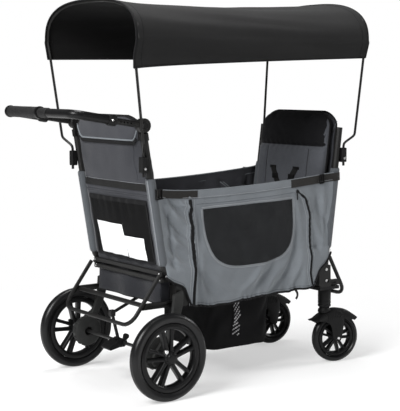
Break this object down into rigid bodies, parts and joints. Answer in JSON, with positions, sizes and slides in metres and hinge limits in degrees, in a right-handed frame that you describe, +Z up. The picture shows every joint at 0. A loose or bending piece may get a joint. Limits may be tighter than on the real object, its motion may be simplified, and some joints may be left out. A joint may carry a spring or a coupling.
{
  "type": "double stroller wagon",
  "caption": "Four-wheel stroller wagon with facing padded seats, a hanging foot well, a canopy on hoops, a push handle and a folding floor.",
  "frame": {"origin": "on the floor, under the middle of the wagon's box", "axes": "+X to the wagon's right side, +Y forward towards the caster wheels, +Z up; the push handle is at -Y"},
  "size_m": [0.6386, 1.2232, 1.3251],
  "materials": {
    "tube": "dark brown-black powder coat, satin",
    "black_plastic": "fine moulded grain",
    "tyre": "smooth foam, matte",
    "silver": "bright zinc",
    "grey_cloth": "woven polyester, mid grey",
    "dark_grey_cloth": "woven polyester, dark grey",
    "black_cloth": "woven polyester, black",
    "black_webbing": "ribbed webbing",
    "white_label": "plain white satin weave",
    "leather": "embossed black, sewn"
  },
  "bodies": {
    "rear_end": {"rear_uprights": "tube", "rear_hinge_blocks": "tube", "rear_u_tube": "tube", "rear_side_rails": "tube", "rear_canopy_hoop": "tube", "rear_seat_back": "grey_cloth", "rear_back_panel": "dark_grey_cloth", "rear_harness": "black_webbing", "rear_canopy_clip_right": "black_plastic", "rear_canopy_clip_left": "black_plastic", "rear_axle": "silver", "axle_stay": "tube", "rear_leg_right": "black_plastic", "rear_leg_left": "black_plastic", "handle_hinge_right": "black_plastic", "handle_hinge_left": "black_plastic", "rear_pocket": "black_cloth", "label_patches": "white_label", "canopy": "black_cloth", "side_wall_right": "grey_cloth", "side_wall_left": "grey_cloth"},
    "rear_floor": {"rear_base_frame": "tube", "rear_seat_board": "black_plastic", "rear_seat_cushion": "dark_grey_cloth", "foot_well": "black_cloth"},
    "front_floor": {"front_base_frame": "tube", "front_seat_board": "black_plastic", "front_seat_cushion": "dark_grey_cloth"},
    "front_end": {"front_uprights": "tube", "front_hinge_blocks": "tube", "front_u_tube": "tube", "front_side_rails": "tube", "front_canopy_hoop": "tube", "front_seat_back": "grey_cloth", "front_back_panel": "dark_grey_cloth", "front_harness": "black_webbing", "front_canopy_clip_right": "black_plastic", "front_canopy_clip_left": "black_plastic", "caster_housing_right": "black_plastic", "caster_housing_left": "black_plastic"},
    "handle": {"handle_arm_right": "tube", "handle_arm_left": "tube"},
    "push_bar": {"push_bar": "black_plastic", "push_bar_grip": "leather"},
    "hinge_button_right": {"hinge_button_right": "black_plastic"},
    "hinge_button_left": {"hinge_button_left": "black_plastic"},
    "collar_button_right": {"collar_button_right": "silver"},
    "collar_button_left": {"collar_button_left": "silver"},
    "brake_pedal": {"brake_pedal": "black_plastic"},
    "rear_wheel_right": {"rear_wheel_right_tyre": "tyre", "rear_wheel_right_rim": "black_plastic"},
    "rear_wheel_left": {"rear_wheel_left_tyre": "tyre", "rear_wheel_left_rim": "black_plastic"},
    "caster_right": {"caster_fork_right": "black_plastic"},
    "caster_left": {"caster_fork_left": "black_plastic"},
    "front_wheel_right": {"front_wheel_right_tyre": "tyre", "front_wheel_right_rim": "black_plastic"},
    "front_wheel_left": {"front_wheel_left_tyre": "tyre", "front_wheel_left_rim": "black_plastic"}
  },
  "joints": [
    {"name": "fold", "type": "hinge", "parent": "rear_end", "child": "rear_floor", "pos_m": [0, -0.2013, 0.36], "axis": [1, 0, 0], "range_deg": [0, 65], "deforming": ["canopy", "side_wall_right", "side_wall_left", "foot_well"]},
    {"name": "fold_centre", "type": "hinge", "parent": "rear_floor", "child": "front_floor", "pos_m": [0, 0.1162, 0.36], "axis": [1, 0, 0], "range_deg": [-130, 0]},
    {"name": "fold_front", "type": "hinge", "parent": "front_floor", "child": "front_end", "pos_m": [0, 0.4337, 0.36], "axis": [1, 0, 0], "range_deg": [0, 65]},
    {"name": "handle_tilt", "type": "hinge", "parent": "rear_end", "child": "handle", "pos_m": [0, -0.34118, 0.897], "axis": [1, 0, 0], "range_deg": [-35, 55]},
    {"name": "push_bar_slide", "type": "slide", "parent": "handle", "child": "push_bar", "axis": [0, 0.9869, -0.1616], "range_m": [0, 0.045]},
    {"name": "hinge_button_right_press", "type": "slide", "parent": "handle", "child": "hinge_button_right", "axis": [-1, 0, 0], "range_m": [0, 0.004], "stiffness_N_per_m": 300},
    {"name": "hinge_button_left_press", "type": "slide", "parent": "handle", "child": "hinge_button_left", "axis": [1, 0, 0], "range_m": [0, 0.004], "stiffness_N_per_m": 300},
    {"name": "collar_button_right_press", "type": "slide", "parent": "push_bar", "child": "collar_button_right", "axis": [-1, 0, 0], "range_m": [0, 0.003], "stiffness_N_per_m": 200},
    {"name": "collar_button_left_press", "type": "slide", "parent": "push_bar", "child": "collar_button_left", "axis": [1, 0, 0], "range_m": [0, 0.003], "stiffness_N_per_m": 200},
    {"name": "brake_pedal_press", "type": "hinge", "parent": "rear_end", "child": "brake_pedal", "pos_m": [0, -0.3013, 0.145], "axis": [1, 0, 0], "range_deg": [0, 18]},
    {"name": "rear_wheel_right_roll", "type": "hinge", "parent": "rear_end", "child": "rear_wheel_right", "pos_m": [0.3, -0.3013, 0.145], "axis": [1, 0, 0], "continuous": true},
    {"name": "rear_wheel_left_roll", "type": "hinge", "parent": "rear_end", "child": "rear_wheel_left", "pos_m": [-0.3, -0.3013, 0.145], "axis": [1, 0, 0], "continuous": true},
    {"name": "caster_right_swivel", "type": "hinge", "parent": "front_end", "child": "caster_right", "pos_m": [0.186, 0.4727, 0.25], "axis": [0, 0, 1], "continuous": true},
    {"name": "caster_left_swivel", "type": "hinge", "parent": "front_end", "child": "caster_left", "pos_m": [-0.186, 0.4727, 0.25], "axis": [0, 0, 1], "continuous": true},
    {"name": "front_wheel_right_roll", "type": "hinge", "parent": "caster_right", "child": "front_wheel_right", "pos_m": [0.19664, 0.51539, 0.0916], "axis": [0.9703, -0.2419, 0], "continuous": true},
    {"name": "front_wheel_left_roll", "type": "hinge", "parent": "caster_left", "child": "front_wheel_left", "pos_m": [-0.18217, 0.51653, 0.0916], "axis": [0.9962, -0.0872, 0], "continuous": true}
  ],
  "couplings": [
    {"joint": "fold_centre", "follows": "fold", "ratio": -2},
    {"joint": "fold_front", "follows": "fold", "ratio": 1}
  ]
}
